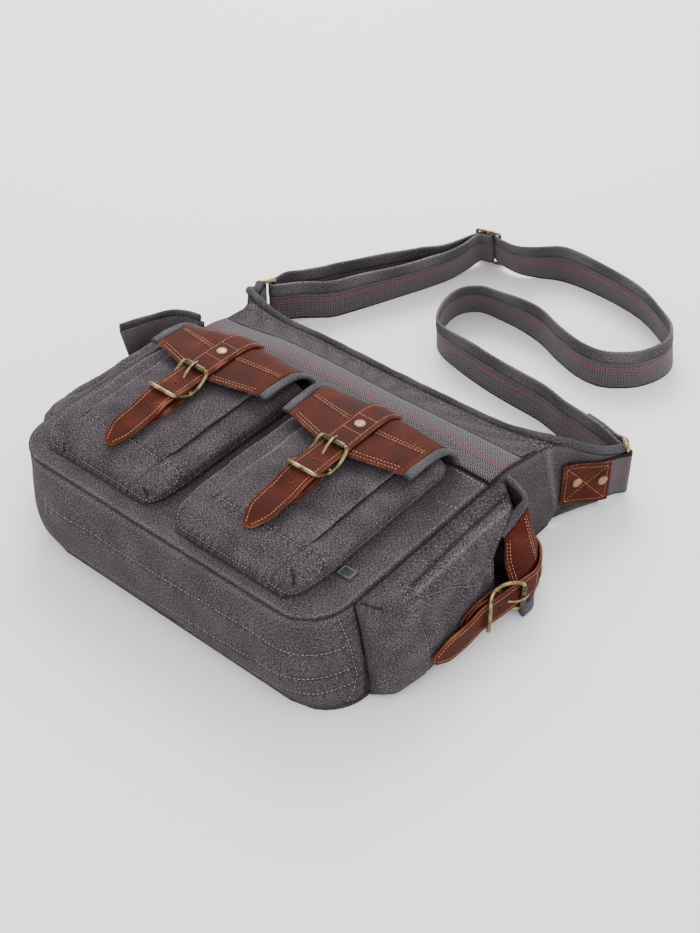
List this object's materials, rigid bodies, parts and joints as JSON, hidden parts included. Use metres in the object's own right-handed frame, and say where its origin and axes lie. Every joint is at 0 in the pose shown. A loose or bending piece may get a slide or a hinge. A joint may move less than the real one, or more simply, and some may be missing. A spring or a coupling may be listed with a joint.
{
  "type": "canvas mail bag",
  "caption": "Canvas shoulder bag lying on its back, with buckled leather pocket flaps in front and at the sides and its webbing strap looped out behind.",
  "frame": {"origin": "middle of the back panel's outer face, which lies on the ground", "axes": "+X across the bag to the right as it is worn away from the body, +Y from the base to the mouth, +Z from the back panel to the front"},
  "size_m": [0.4768, 0.6488, 0.1439],
  "materials": {
    "canvas": "washed cotton canvas",
    "binding": "folded canvas binding",
    "webbing": "heavy woven webbing",
    "leather": "oiled cowhide, stitched edges",
    "brass": "antique brass",
    "copper": "aged copper-brass rivet"
  },
  "bodies": {
    "root": {"back_panel": "canvas", "front_panel": "canvas", "gusset": "canvas", "webbing_band": "webbing", "ruffle_strip": "canvas", "rim_binding_front": "binding", "rim_binding_back": "binding", "side_tag": "webbing", "pocket_left": "canvas", "flap_left": "leather", "flap_binding_1_left": "binding", "flap_binding_2_left": "binding", "strap_left": "leather", "rivet_left": "copper", "buckle_frame_left": "brass", "buckle_roller_left": "brass", "buckle_tongue_left": "brass", "billet_left": "leather", "pocket_right": "canvas", "flap_right": "leather", "flap_binding_1_right": "binding", "flap_binding_2_right": "binding", "strap_right": "leather", "rivet_right": "copper", "buckle_frame_right": "brass", "buckle_roller_right": "brass", "buckle_tongue_right": "brass", "billet_right": "leather", "pocket_side_right": "canvas", "flap_side_right": "leather", "flap_binding_1_side_right": "binding", "flap_binding_2_side_right": "binding", "strap_side_right": "leather", "rivet_side_right": "copper", "buckle_frame_side_right": "brass", "buckle_roller_side_right": "brass", "buckle_tongue_side_right": "brass", "billet_side_right": "leather", "pocket_side_left": "canvas", "flap_side_left": "leather", "flap_binding_1_side_left": "binding", "flap_binding_2_side_left": "binding", "strap_side_left": "leather", "rivet_side_left": "copper", "buckle_frame_side_left": "brass", "buckle_roller_side_left": "brass", "buckle_tongue_side_left": "brass", "billet_side_left": "leather", "ear_patch_right": "leather", "ear_rivet_1_right": "copper", "ear_rivet_2_right": "copper", "ring_tab_right": "webbing", "ring_right": "brass", "ear_patch_left": "leather", "ear_rivet_1_left": "copper", "ear_rivet_2_left": "copper", "ring_tab_left": "webbing", "ring_left": "brass", "strap_slider": "brass", "shoulder_strap": "webbing"}
  },
  "joints": []
}
